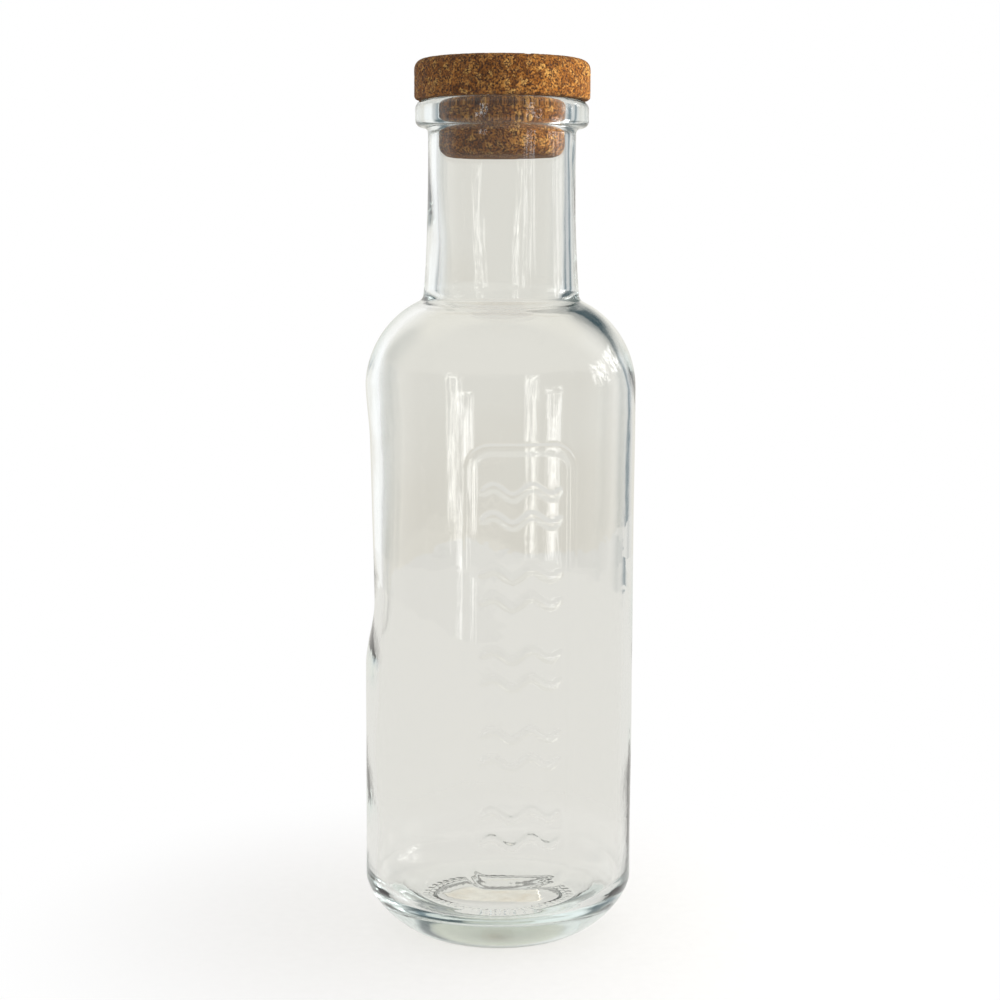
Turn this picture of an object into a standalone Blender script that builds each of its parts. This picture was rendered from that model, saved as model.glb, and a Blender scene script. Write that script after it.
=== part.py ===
"""Glass water bottle with a two-disc cork stopper, for Blender 4.5.

A moulded glass bottle with a straight body, a round shoulder, a long open neck and a heavy lip bead, closed by a
stopper of agglomerated cork: a wide head that sits on the lip and a plug that fills the bore.
Units are metres, +Z is up, and the origin is the centre of the surface that the bottle stands on.
"""
import math

import bmesh
import bpy
from mathutils import Matrix, Vector

# ---------------------------------------------------------------- driving dimensions

SEGMENTS = 48            # facets around every turned piece, so that a plug's facets face its bore's
SMALL_ROUND_STEPS = 3    # straight runs in a small round of an outline
EDGE_ROUND_STEPS = 5     # in the round of a cork disc's edge, and in the inner heel
FLARE_STEPS = 4          # in the flare at the foot of the bore
NECK_STEPS = 7
INNER_SHOULDER_STEPS = 8
OUTER_SHOULDER_STEPS = 10
HEEL_STEPS = 8
PANEL_CORNER_STEPS = 5   # in each round corner of the frame line
PANEL_EDGE_STEPS = 5     # along its top and along its bottom, which bend round the body
GLASS_SHARP = math.radians(40.0)     # edges sharper than this stay sharp in shading
CORK_SHARP = math.radians(50.0)
PAPER_SHARP = math.radians(30.0)
MERGE = 0.00001          # merge distance of every modifier that welds
GAP = 0.0003             # clearance kept between pieces that touch

# glass, outside
BODY_RADIUS = 0.0450
BODY_TOP = 0.1845        # where the straight body ends and the shoulder starts
SHOULDER_ARC = 0.0317    # radius of the shoulder's round in side view
NECK_FOOT_RADIUS = 0.0260
NECK_RADIUS = 0.02425    # just under the lip bead
NECK_FLARE = 3.0         # how fast the neck's foot narrows to its upper radius
NECK_FILLET = 0.0016
BEAD_BOTTOM = 0.2696
BEAD_RADIUS = 0.02850
BEAD_ROUND = 0.0016
LIP_TOP = 0.2784
HEEL_HEIGHT = 0.0187
HEEL_SQUARENESS = 1.50   # 2 is a quarter ellipse, 1 is a plain chamfer
RING_OUTER = 0.0255      # the narrow flat ring that the bottle stands on
RING_INNER = 0.0225
PUNT_RADIUS = 0.0215
PUNT_HEIGHT = 0.0026

# glass, inside
BODY_WALL = 0.0033
FLOOR_HEIGHT = 0.0122     # at the axis; the base is a thick lens of glass
FLOOR_EDGE_HEIGHT = 0.0127
FLOOR_RADIUS = 0.0338
INNER_HEEL_TOP = 0.0220
BORE_RADIUS = 0.0211
BORE_FLARE = 0.0090       # radius of the round that leads the shoulder's inside into the bore

# the grip: a hollow pressed into the left side
GRIP_TOP = 0.1870
GRIP_FULL_TOP = 0.1650
GRIP_FULL_BOTTOM = 0.1140
GRIP_BOTTOM = 0.0910
GRIP_DEPTH_TOP = 0.0015
GRIP_DEPTH_BOTTOM = 0.0031
GRIP_HALF_ANGLE = math.radians(36.0)
GRIP_ROWS = (0.176, 0.165, 0.150, 0.132, 0.119, 0.111, 0.105, 0.099, 0.092)

# the moulded panel: a rounded frame line that stands out of the front
PANEL_ANGLE = math.radians(9.2)      # turned from the front towards +X
PANEL_HALF_WIDTH = 0.0171            # from the panel's middle to the line's, along the surface
PANEL_TOP = 0.1677
PANEL_BOTTOM = 0.0276
PANEL_CORNER = 0.0072                # radius of the line's round corners
PANEL_LINE = 0.0015                  # radius of the line
PANEL_SINK = 0.0011                  # how far its centre lies under the outer surface

# stopper
HEAD_RADIUS = 0.0289
HEAD_BOTTOM = LIP_TOP + GAP
HEAD_TOP = 0.2915
HEAD_TOP_ROUND = 0.0032
HEAD_BOTTOM_ROUND = 0.0012
PLUG_RADIUS = BORE_RADIUS - GAP
PLUG_TOP = HEAD_BOTTOM - GAP
PLUG_BOTTOM = 0.2600
PLUG_BOTTOM_ROUND = 0.0042
PLUG_TOP_ROUND = 0.0004

# paper label stuck inside the punt
LABEL_TOP = PUNT_HEIGHT - GAP
LABEL_THICKNESS = 0.0003
LABEL_CORNERS = ((-0.0205, 0.0015), (-0.0120, 0.0105), (0.0030, 0.0118), (0.0148, 0.0112),
                 (0.0160, -0.0080), (0.0128, -0.0116), (-0.0040, -0.0104), (-0.0150, -0.0076))


# ---------------------------------------------------------------- scene and materials

def clear_scene():
    """Removes what the scene holds, so that the script can be run again."""
    for obj in list(bpy.data.objects):
        bpy.data.objects.remove(obj, do_unlink=True)


def new_collection(name):
    group = bpy.data.collections.new(name)
    bpy.context.scene.collection.children.link(group)
    return group


def principled(name, colour, roughness, transmission=0.0, ior=1.45):
    """A Principled BSDF material with one colour."""
    material = bpy.data.materials.new(name)
    material.use_nodes = True
    shader = material.node_tree.nodes["Principled BSDF"]
    shader.inputs["Base Color"].default_value = (*colour, 1.0)
    shader.inputs["Roughness"].default_value = roughness
    shader.inputs["Metallic"].default_value = 0.0
    shader.inputs["Transmission Weight"].default_value = transmission
    shader.inputs["IOR"].default_value = ior
    return material


# ---------------------------------------------------------------- outlines in the (radius, height) plane

def arc(centre, radii, start, end, steps):
    """Points on an elliptic arc about centre, from the angle start to end, both ends included."""
    points = []
    for i in range(steps + 1):
        angle = start + (end - start) * i / steps
        points.append((centre[0] + radii[0] * math.cos(angle), centre[1] + radii[1] * math.sin(angle)))
    return points


def rounded(before, corner, after, radius, steps):
    """The arc that rounds the corner between two straight runs, tangent to both."""
    corner_point = Vector(corner)
    back = (Vector(before) - corner_point).normalized()
    ahead = (Vector(after) - corner_point).normalized()
    half_angle = back.angle(ahead) / 2.0
    centre = corner_point + (back + ahead).normalized() * (radius / math.sin(half_angle))
    reach = radius / math.tan(half_angle)
    first = corner_point + back * reach - centre
    last = corner_point + ahead * reach - centre
    return [tuple(centre + first.slerp(last, i / steps).normalized() * radius) for i in range(steps + 1)]


def heel_outline(steps):
    """The outer heel, from the body's straight side down to the bearing ring, as a superellipse quarter."""
    power = 2.0 / HEEL_SQUARENESS
    points = []
    for i in range(1, steps + 1):
        angle = math.pi / 2.0 * i / steps
        radius = RING_OUTER + (BODY_RADIUS - RING_OUTER) * math.cos(angle) ** power
        height = HEEL_HEIGHT - HEEL_HEIGHT * math.sin(angle) ** power
        points.append((radius, height))
    points[-1] = (RING_OUTER, 0.0)
    return points


def neck_outline(foot_height, steps):
    """The neck's outside from under the lip bead down to its foot, which flares out exponentially."""
    points = []
    for i in range(steps + 1):
        down = i / steps
        height = BEAD_BOTTOM + (foot_height - BEAD_BOTTOM) * down
        flare = math.exp(-NECK_FLARE * (1.0 - down))
        points.append((NECK_RADIUS + (NECK_FOOT_RADIUS - NECK_RADIUS) * flare, height))
    return points


def glass_outline():
    """The bottle's whole section: the axis at the floor, up the inside, over the lip and down the outside."""
    shoulder_centre = (BODY_RADIUS - SHOULDER_ARC, BODY_TOP)
    inner_arc = SHOULDER_ARC - BODY_WALL
    inner_body = BODY_RADIUS - BODY_WALL
    outer_end = math.acos((NECK_FOOT_RADIUS - shoulder_centre[0]) / SHOULDER_ARC)

    # the flare is tangent to the shoulder's inner arc and to the straight bore
    flare_radius = BORE_RADIUS + BORE_FLARE
    flare_reach = inner_arc + BORE_FLARE
    inner_end = math.acos((flare_radius - shoulder_centre[0]) / flare_reach)
    flare_centre = (flare_radius, shoulder_centre[1] + flare_reach * math.sin(inner_end))

    floor = [(0.0, FLOOR_HEIGHT), (FLOOR_RADIUS, FLOOR_EDGE_HEIGHT)]
    inner_heel = arc((FLOOR_RADIUS, INNER_HEEL_TOP),
                     (inner_body - FLOOR_RADIUS, INNER_HEEL_TOP - FLOOR_EDGE_HEIGHT),
                     -math.pi / 2.0, 0.0, EDGE_ROUND_STEPS)[1:]
    inner_side = [(inner_body, height) for height in reversed(GRIP_ROWS)]
    inner_shoulder = arc(shoulder_centre, (inner_arc, inner_arc), 0.0, inner_end, INNER_SHOULDER_STEPS)
    bore_foot = arc(flare_centre, (BORE_FLARE, BORE_FLARE), math.pi + inner_end, math.pi, FLARE_STEPS)[1:]
    bore_mouth = (BORE_RADIUS, LIP_TOP)
    bead_top = (BEAD_RADIUS, LIP_TOP)
    bead_foot = (BEAD_RADIUS, BEAD_BOTTOM)
    lip = rounded(bore_foot[-1], bore_mouth, bead_top, BEAD_ROUND, SMALL_ROUND_STEPS)
    lip += rounded(bore_mouth, bead_top, bead_foot, BEAD_ROUND, SMALL_ROUND_STEPS)
    lip += rounded(bead_top, bead_foot, (NECK_RADIUS, BEAD_BOTTOM), BEAD_ROUND, SMALL_ROUND_STEPS)

    outer_shoulder = arc(shoulder_centre, (SHOULDER_ARC, SHOULDER_ARC), outer_end, 0.0, OUTER_SHOULDER_STEPS)
    neck = neck_outline(outer_shoulder[0][1], NECK_STEPS)
    under_bead = rounded(bead_foot, neck[0], neck[1], NECK_FILLET, SMALL_ROUND_STEPS)
    neck_foot = rounded(neck[-2], neck[-1], outer_shoulder[1], NECK_FILLET, SMALL_ROUND_STEPS)
    outer_side = [(BODY_RADIUS, height) for height in GRIP_ROWS]
    outer_heel = [(BODY_RADIUS, HEEL_HEIGHT)] + heel_outline(HEEL_STEPS)
    underside = [(RING_INNER, 0.0), (PUNT_RADIUS, PUNT_HEIGHT), (0.0, PUNT_HEIGHT)]

    inside = floor + inner_heel + inner_side + inner_shoulder + bore_foot
    outside = under_bead + neck[1:-1] + neck_foot + outer_shoulder[1:] + outer_side + outer_heel + underside
    return inside + lip + outside


def disc_outline(radius, bottom, top, bottom_round, top_round):
    """The section of a cork disc: its axis at the top, out, down the rounded side and back to the axis."""
    top_edge = arc((radius - top_round, top - top_round), (top_round, top_round), math.pi / 2.0, 0.0,
                   EDGE_ROUND_STEPS)
    bottom_edge = arc((radius - bottom_round, bottom + bottom_round), (bottom_round, bottom_round),
                      0.0, -math.pi / 2.0, EDGE_ROUND_STEPS)
    return [(0.0, top)] + top_edge + bottom_edge + [(0.0, bottom)]


# ---------------------------------------------------------------- solids

def turned(name, outline, group):
    """A mesh object that turns an outline of (radius, height) points about the Z axis with a Screw modifier."""
    mesh = bpy.data.meshes.new(name)
    edges = [(i, i + 1) for i in range(len(outline) - 1)]
    mesh.from_pydata([(radius, 0.0, height) for radius, height in outline], edges, [])
    obj = bpy.data.objects.new(name, mesh)
    group.objects.link(obj)
    screw = obj.modifiers.new("turn", "SCREW")
    screw.axis = "Z"
    screw.angle = 2.0 * math.pi
    screw.steps = SEGMENTS
    screw.render_steps = SEGMENTS
    screw.use_merge_vertices = True
    screw.merge_threshold = MERGE
    return obj


def as_mesh(obj):
    """Replaces an object's data with the mesh that its modifiers or its curve make."""
    bpy.context.view_layer.update()
    evaluated = obj.evaluated_get(bpy.context.evaluated_depsgraph_get())
    mesh = bpy.data.meshes.new_from_object(evaluated)
    mesh.name = obj.name
    made = bpy.data.objects.new(obj.name + "_mesh", mesh)
    made.matrix_world = obj.matrix_world
    name = obj.name
    group = obj.users_collection[0]
    bpy.data.objects.remove(obj, do_unlink=True)
    made.name = name
    group.objects.link(made)
    return made


def smoothstep(value):
    """0 below 0, 1 above 1, and an S-shaped ramp between."""
    clipped = min(max(value, 0.0), 1.0)
    return clipped * clipped * (3.0 - 2.0 * clipped)


def grip_depth(angle_from_grip, height):
    """How far the grip presses the wall in: deepest low down, fading out around the body."""
    along = smoothstep((GRIP_TOP - height) / (GRIP_TOP - GRIP_FULL_TOP))
    along *= smoothstep((height - GRIP_BOTTOM) / (GRIP_FULL_BOTTOM - GRIP_BOTTOM))
    slope = (GRIP_FULL_TOP - height) / (GRIP_FULL_TOP - GRIP_FULL_BOTTOM)
    depth = GRIP_DEPTH_TOP + (GRIP_DEPTH_BOTTOM - GRIP_DEPTH_TOP) * min(max(slope, 0.0), 1.0)
    around = 1.0 - smoothstep(abs(angle_from_grip) / GRIP_HALF_ANGLE)
    return depth * along * around


def press_grip(obj):
    """Moves the wall's points inwards at the grip, inside and outside alike, so that the wall keeps its thickness."""
    for vertex in obj.data.vertices:
        x, y, z = vertex.co
        radius = math.hypot(x, y)
        if radius < BODY_RADIUS - 2.0 * BODY_WALL:
            continue
        factor = (radius - grip_depth(math.atan2(y, -x), z)) / radius
        vertex.co = (x * factor, y * factor, z)


def panel_path():
    """The frame line's centre: a tall rectangle with round corners, wrapped on the body."""
    across = PANEL_HALF_WIDTH - PANEL_CORNER
    top = PANEL_TOP - PANEL_CORNER
    bottom = PANEL_BOTTOM + PANEL_CORNER
    flat = []
    for turn, corner in enumerate(((across, top), (-across, top), (-across, bottom), (across, bottom))):
        start = math.pi / 2.0 * turn
        flat += arc(corner, (PANEL_CORNER, PANEL_CORNER), start, start + math.pi / 2.0, PANEL_CORNER_STEPS)
        if turn in (0, 2):
            side, height = flat[-1]
            flat += [(side - 2.0 * side * i / PANEL_EDGE_STEPS, height) for i in range(1, PANEL_EDGE_STEPS)]
    radius = BODY_RADIUS - PANEL_SINK
    points = []
    for side, height in flat:
        angle = PANEL_ANGLE + side / BODY_RADIUS
        points.append((radius * math.sin(angle), -radius * math.cos(angle), height))
    return points


def panel_line(group):
    """The frame line as a closed tube, hidden, for the bottle to take in with a Boolean union."""
    curve = bpy.data.curves.new("panel_line", "CURVE")
    curve.dimensions = "3D"
    curve.bevel_depth = PANEL_LINE
    curve.bevel_resolution = 1
    spline = curve.splines.new("POLY")
    path = panel_path()
    spline.points.add(len(path) - 1)
    for point, place in zip(spline.points, path):
        point.co = (*place, 1.0)
    spline.use_cyclic_u = True
    obj = bpy.data.objects.new("panel_line", curve)
    group.objects.link(obj)
    line = as_mesh(obj)
    line.hide_render = True
    line.display_type = "WIRE"
    return line


def join_to(obj, other):
    """A Boolean union of another closed mesh into obj."""
    union = obj.modifiers.new("take_" + other.name, "BOOLEAN")
    union.operation = "UNION"
    union.solver = "EXACT"
    union.object = other


def paper_sheet(name, corners, top, thickness, group):
    """A flat sheet with straight torn edges, extruded down from its upper face."""
    mesh = bpy.data.meshes.new(name)
    sheet = bmesh.new()
    rim = [sheet.verts.new((x, y, top - thickness)) for x, y in corners]
    face = sheet.faces.new(rim)
    face.normal_update()
    if face.normal.z > 0.0:
        face.normal_flip()
    raised = bmesh.ops.extrude_face_region(sheet, geom=[face], use_keep_orig=True)["geom"]
    lifted = [item for item in raised if isinstance(item, bmesh.types.BMVert)]
    bmesh.ops.translate(sheet, verts=lifted, vec=(0.0, 0.0, thickness))
    bmesh.ops.recalc_face_normals(sheet, faces=sheet.faces)
    sheet.to_mesh(mesh)
    sheet.free()
    obj = bpy.data.objects.new(name, mesh)
    group.objects.link(obj)
    return obj


def shade(obj, material, sharp_angle):
    """Gives an object its material and smooth shading that breaks at sharp edges."""
    obj.data.materials.clear()
    obj.data.materials.append(material)
    obj.data.shade_smooth()
    obj.data.set_sharp_from_angle(angle=sharp_angle)


# ---------------------------------------------------------------- the object

def build_bottle(group, cutters, glass):
    """The glass: turned section, pressed grip, and the panel's raised frame line."""
    bottle = as_mesh(turned("bottle", glass_outline(), group))
    press_grip(bottle)
    shade(bottle, glass, GLASS_SHARP)
    join_to(bottle, panel_line(cutters))
    return bottle


def build_stopper(group, cork_light, cork_dark):
    """The two cork discs, under an empty on the stopper's own sliding axis."""
    axis = bpy.data.objects.new("stopper_axis", None)
    axis.location = (0.0, 0.0, LIP_TOP)
    group.objects.link(axis)
    head_outline = disc_outline(HEAD_RADIUS, HEAD_BOTTOM, HEAD_TOP, HEAD_BOTTOM_ROUND, HEAD_TOP_ROUND)
    plug_outline = disc_outline(PLUG_RADIUS, PLUG_BOTTOM, PLUG_TOP, PLUG_BOTTOM_ROUND, PLUG_TOP_ROUND)
    for name, outline, cork in (("stopper_head", head_outline, cork_light),
                                ("stopper_plug", plug_outline, cork_dark)):
        disc = turned(name, outline, group)
        shade(disc, cork, CORK_SHARP)
        disc.parent = axis
        disc.matrix_parent_inverse = Matrix.Translation(-axis.location)


def main():
    clear_scene()
    parts = new_collection("glass_water_bottle")
    cutters = new_collection("joining_shapes")
    glass = principled("clear_glass", (0.93, 0.97, 0.96), 0.02, transmission=1.0, ior=1.52)
    cork_light = principled("cork_head", (0.42, 0.22, 0.09), 0.85)
    cork_dark = principled("cork_plug", (0.33, 0.17, 0.08), 0.88)
    paper = principled("label_paper", (0.86, 0.84, 0.79), 0.9)
    build_bottle(parts, cutters, glass)
    build_stopper(parts, cork_light, cork_dark)
    label = paper_sheet("base_label", LABEL_CORNERS, LABEL_TOP, LABEL_THICKNESS, parts)
    shade(label, paper, PAPER_SHARP)


main()
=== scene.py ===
# %% [markdown]
# # A glass water bottle with a cork stopper
#
# The bottle is one piece of moulded glass: thick base, straight body, round shoulder, long open neck and a
# heavy bead around the mouth. Its stopper is two discs of pressed cork granules. This file loads the
# measured solids as a frame, then makes the surfaces that are seen: glass with the waviness and relief that
# a mould leaves, cork with its granules and crumbs, and a scrap of paper label under the base.
#
# Every length is in metres. The frame's boxes say where each piece sits, so nothing here has to be fitted.

# %% Load the frame
import math

import bpy
import numpy as np
from mathutils import Matrix, Vector


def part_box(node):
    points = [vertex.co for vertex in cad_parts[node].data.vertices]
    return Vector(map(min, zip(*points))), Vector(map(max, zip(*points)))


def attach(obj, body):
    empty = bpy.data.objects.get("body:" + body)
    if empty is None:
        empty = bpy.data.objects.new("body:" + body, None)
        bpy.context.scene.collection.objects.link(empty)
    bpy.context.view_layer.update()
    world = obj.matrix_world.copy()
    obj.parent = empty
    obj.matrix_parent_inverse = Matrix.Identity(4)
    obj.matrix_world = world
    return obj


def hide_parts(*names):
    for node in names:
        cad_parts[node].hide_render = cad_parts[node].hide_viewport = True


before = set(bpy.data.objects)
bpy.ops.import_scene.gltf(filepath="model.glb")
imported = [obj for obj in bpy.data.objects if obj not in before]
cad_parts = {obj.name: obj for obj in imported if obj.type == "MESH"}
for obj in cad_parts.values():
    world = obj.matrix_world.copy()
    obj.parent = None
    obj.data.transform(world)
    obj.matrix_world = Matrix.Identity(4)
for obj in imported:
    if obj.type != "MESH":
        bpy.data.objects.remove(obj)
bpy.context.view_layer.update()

# %% [markdown]
# ## Measures taken from the frame
#
# The boxes of the four solids give every outer size. What a box can't tell, such as a wall's thickness or
# the radius of the shoulder's curve, is stated once below under a plain name.

# %% Sizes of the glass
glass_low, glass_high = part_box("bottle")
head_low, head_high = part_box("stopper_head")
plug_low, plug_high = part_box("stopper_plug")
label_low, label_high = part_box("base_label")

BODY_RADIUS = glass_high.x
LIP_TOP = glass_high.z
BODY_TOP = 0.1845
SHOULDER_ARC = 0.0317
NECK_FOOT_RADIUS = 0.0260
NECK_RADIUS = 0.02425
NECK_FLARE = 3.0
NECK_FILLET = 0.0020
NECK_FOOT_FILLET = 0.0026
BEAD_BOTTOM = 0.2696
BEAD_RADIUS = 0.0285
BEAD_TOP_ROUND = 0.0029
MOUTH_ROUND = 0.0020
BEAD_FOOT_ROUND = 0.0021
HEEL_HEIGHT = 0.0187
HEEL_SQUARENESS = 1.5
RING_OUTER = 0.0255
RING_INNER = 0.0225
PUNT_RADIUS = 0.0215
PUNT_HEIGHT = 0.0026
BODY_WALL = 0.0033
FLOOR_HEIGHT = 0.0122
FLOOR_EDGE_HEIGHT = 0.0127
FLOOR_RADIUS = 0.0338
INNER_HEEL_TOP = 0.0220
BORE_RADIUS = 0.0211
BORE_FLARE = 0.0090
print(f"glass: {BODY_RADIUS * 2000:.1f} mm across, {LIP_TOP * 1000:.1f} mm tall")

# %% [markdown]
# ## The camera
#
# A portrait lens from about 0.7 m, a little above the shoulder and tipped down by less than seven degrees.
# From there the flat top of the cork is seen edge on from just below, while the base is seen from above, so
# the two ends of the bottle curve in opposite ways. The bottle leans a third of a degree in the frame,
# which is a roll of the camera and not a tilt of the glass.

# %% Camera
CAMERA_DISTANCE = 0.6966
CAMERA_HEIGHT = 0.2294
CAMERA_PITCH = math.radians(6.79)
CAMERA_ROLL = math.radians(0.32)
FOCAL_LENGTH_MM = 75.26

camera_data = bpy.data.cameras.new("portrait_lens")
camera_data.sensor_width = 36.0
camera_data.lens = FOCAL_LENGTH_MM
camera_data.clip_start = 0.01
camera = bpy.data.objects.new("camera", camera_data)
camera.location = (0.0, -CAMERA_DISTANCE, CAMERA_HEIGHT)
camera.rotation_mode = "XYZ"
level = Vector((0.0, math.cos(CAMERA_PITCH), -math.sin(CAMERA_PITCH))).to_track_quat("-Z", "Y")
camera.rotation_euler = (level.to_matrix().to_4x4() @ Matrix.Rotation(CAMERA_ROLL, 4, "Z")).to_euler()
bpy.context.scene.collection.objects.link(camera)
bpy.context.scene.camera = camera
print("camera:", tuple(round(v, 3) for v in camera.location))

# %% [markdown]
# ## From arrays to meshes
#
# Every turned surface here is a grid: rows follow an outline from one end to the other and columns go
# round. The grid is worked out as whole arrays, and this helper sews its ends: the first and last rows
# become single points on the axis, and the last column joins the first, so the skin has no seam.

# %% Closed grid to mesh
def skin_from_grid(name, x, y, z):
    """A closed mesh from arrays of rows by columns. Rows run down the outside, so each face's winding, row
    then column, points its normal outwards. The first and the last row are collapsed to one point each."""
    rows, columns = x.shape
    body = np.stack([x[1:-1], y[1:-1], z[1:-1]], axis=-1).reshape(-1, 3)
    ends = np.array([[x[0].mean(), y[0].mean(), z[0].mean()], [x[-1].mean(), y[-1].mean(), z[-1].mean()]])
    points = np.concatenate([body, ends])
    index = np.arange((rows - 2) * columns).reshape(rows - 2, columns)
    here, below = index[:-1], index[1:]
    quads = np.stack([here, below, np.roll(below, -1, 1), np.roll(here, -1, 1)], axis=-1).reshape(-1, 4)
    start_point, end_point = len(points) - 2, len(points) - 1
    first, last = index[0], index[-1]
    start_fan = np.stack([np.full(columns, start_point), first, np.roll(first, -1)], axis=-1)
    end_fan = np.stack([np.full(columns, end_point), np.roll(last, -1), last], axis=-1)
    corners = np.concatenate([quads.ravel(), start_fan.ravel(), end_fan.ravel()])
    sizes = np.concatenate([np.full(len(quads), 4), np.full(2 * columns, 3)])
    return mesh_from_arrays(name, points, corners, sizes)


def mesh_from_arrays(name, points, corners, sizes):
    """A smooth-shaded mesh object from points, the faces' corner indices in one row, and each face's
    size."""
    mesh = bpy.data.meshes.new(name)
    mesh.vertices.add(len(points))
    mesh.vertices.foreach_set("co", points.astype(np.float32).ravel())
    mesh.loops.add(len(corners))
    mesh.loops.foreach_set("vertex_index", corners.astype(np.int32))
    mesh.polygons.add(len(sizes))
    starts = np.concatenate([[0], np.cumsum(sizes)[:-1]])
    mesh.polygons.foreach_set("loop_start", starts.astype(np.int32))
    mesh.update(calc_edges=True)
    mesh.validate()
    mesh.shade_smooth()
    piece = bpy.data.objects.new(name, mesh)
    bpy.context.scene.collection.objects.link(piece)
    triangles = int((sizes - 2).sum())
    print(f"{name}: {len(points)} points, {triangles} triangles")
    return piece

# %% [markdown]
# ## Helpers for outlines
#
# An outline is a few straight runs, arcs and rounded corners in the plane of radius and height. Straight
# runs are cut into short steps where relief has to show on them.

# %% Outline helpers
def steps(start, end, size):
    """Evenly spaced values from start to end, both included, no further apart than size."""
    return np.linspace(start, end, max(2, int(math.ceil(abs(end - start) / size)) + 1))


def arc(centre, radii, start, end, count):
    """Points on an ellipse's arc: centre plus (cos, sin) of an angle that runs evenly from start to end."""
    angle = np.linspace(start, end, count + 1)
    return np.stack([centre[0] + radii[0] * np.cos(angle), centre[1] + radii[1] * np.sin(angle)], axis=-1)


def straight(start, end, size):
    """Points on a straight run from start to end, about size apart."""
    start, end = np.array(start, float), np.array(end, float)
    share = steps(0.0, 1.0, size / np.linalg.norm(end - start))[:, None]
    return start + (end - start) * share


def rounded(before, corner, after, radius, count):
    """The arc that is tangent to both runs at a corner: its centre lies on the corner's bisector."""
    before, corner, after = (np.array(p, float) for p in (before, corner, after))
    back = (before - corner) / np.linalg.norm(before - corner)
    ahead = (after - corner) / np.linalg.norm(after - corner)
    half = 0.5 * math.acos(float(np.clip(back @ ahead, -1.0, 1.0)))
    middle = (back + ahead) / np.linalg.norm(back + ahead)
    centre = corner + middle * (radius / math.sin(half))
    first = corner + back * (radius / math.tan(half)) - centre
    last = corner + ahead * (radius / math.tan(half)) - centre
    turn = math.acos(float(np.clip(first @ last / radius ** 2, -1.0, 1.0)))
    share = np.linspace(0.0, 1.0, count + 1)[:, None]
    return centre + (np.sin((1 - share) * turn) * first + np.sin(share * turn) * last) / math.sin(turn)


def smoothstep(value):
    """0 below 0, 1 above 1, and an S-shaped ramp between."""
    value = np.clip(value, 0.0, 1.0)
    return value * value * (3.0 - 2.0 * value)

# %% [markdown]
# ## The section of the glass
#
# A bottle's section is one closed outline from the axis at the inner floor, up the inside of the wall, over
# the lip and down the outside to the axis again under the base. Turning it makes inner and outer skins that
# join at the lip, which is what a renderer needs to bend light through the wall.

# %% Inside of the glass
shoulder_centre = (BODY_RADIUS - SHOULDER_ARC, BODY_TOP)
inner_arc = SHOULDER_ARC - BODY_WALL
inner_body = BODY_RADIUS - BODY_WALL
flare_radius = BORE_RADIUS + BORE_FLARE
flare_reach = inner_arc + BORE_FLARE
inner_end = math.acos((flare_radius - shoulder_centre[0]) / flare_reach)
flare_centre = (flare_radius, BODY_TOP + flare_reach * math.sin(inner_end))

floor_radii = np.concatenate([steps(0.0, FLOOR_RADIUS, 0.0036), [FLOOR_RADIUS + 0.0003]])
floor_run = np.stack([floor_radii, FLOOR_HEIGHT + (FLOOR_EDGE_HEIGHT - FLOOR_HEIGHT)
                      * (floor_radii / FLOOR_RADIUS) ** 2], axis=-1)
heel_reach = (inner_body - FLOOR_RADIUS, INNER_HEEL_TOP - FLOOR_EDGE_HEIGHT)
inner_heel = arc((FLOOR_RADIUS, INNER_HEEL_TOP), heel_reach, -0.44 * math.pi, 0.0, 12)
inner_side = straight((inner_body, INNER_HEEL_TOP), (inner_body, BODY_TOP), 0.0080)
inner_shoulder = arc(shoulder_centre, (inner_arc, inner_arc), 0.0, inner_end, 18)
bore_foot = arc(flare_centre, (BORE_FLARE, BORE_FLARE), math.pi + inner_end, math.pi, 9)
bore = straight(bore_foot[-1], (BORE_RADIUS, LIP_TOP - MOUTH_ROUND), 0.0080)
inside = np.concatenate([floor_run, inner_heel[1:], inner_side[1:], inner_shoulder[1:-1], bore_foot,
                         bore[1:-1]])

# %% Lip, neck and shoulder
outer_end = math.acos((NECK_FOOT_RADIUS - shoulder_centre[0]) / SHOULDER_ARC)
outer_shoulder = arc(shoulder_centre, (SHOULDER_ARC, SHOULDER_ARC), outer_end, 0.0, 24)
foot_height = outer_shoulder[0][1]
down = np.linspace(0.0, 1.0, 15)
neck = np.stack([NECK_RADIUS + (NECK_FOOT_RADIUS - NECK_RADIUS) * np.exp(-NECK_FLARE * (1.0 - down)),
                 BEAD_BOTTOM + (foot_height - BEAD_BOTTOM) * down], axis=-1)
lip_corners = [(BORE_RADIUS, LIP_TOP), (BEAD_RADIUS, LIP_TOP), (BEAD_RADIUS, BEAD_BOTTOM),
               (NECK_RADIUS, BEAD_BOTTOM)]
lip = np.concatenate([rounded((BORE_RADIUS, BEAD_BOTTOM), lip_corners[0], lip_corners[1], MOUTH_ROUND, 6),
                      rounded(lip_corners[0], lip_corners[1], lip_corners[2], BEAD_TOP_ROUND, 9),
                      rounded(lip_corners[1], lip_corners[2], lip_corners[3], BEAD_FOOT_ROUND, 7)])
under_bead = rounded(lip_corners[2], neck[0], neck[1], NECK_FILLET, 6)
neck_foot = rounded(neck[-3], neck[-1], outer_shoulder[2], NECK_FOOT_FILLET, 6)
upper_outside = np.concatenate([under_bead, neck[1:-2], neck_foot, outer_shoulder[3:]])

# %% [markdown]
# ## Heel, bearing ring and punt
#
# The heel is a quarter of a superellipse: between a chamfer and a round, as a mould's parting edge leaves
# it. The bottle stands on a narrow ring around the punt, the shallow hollow under the base.

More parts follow.
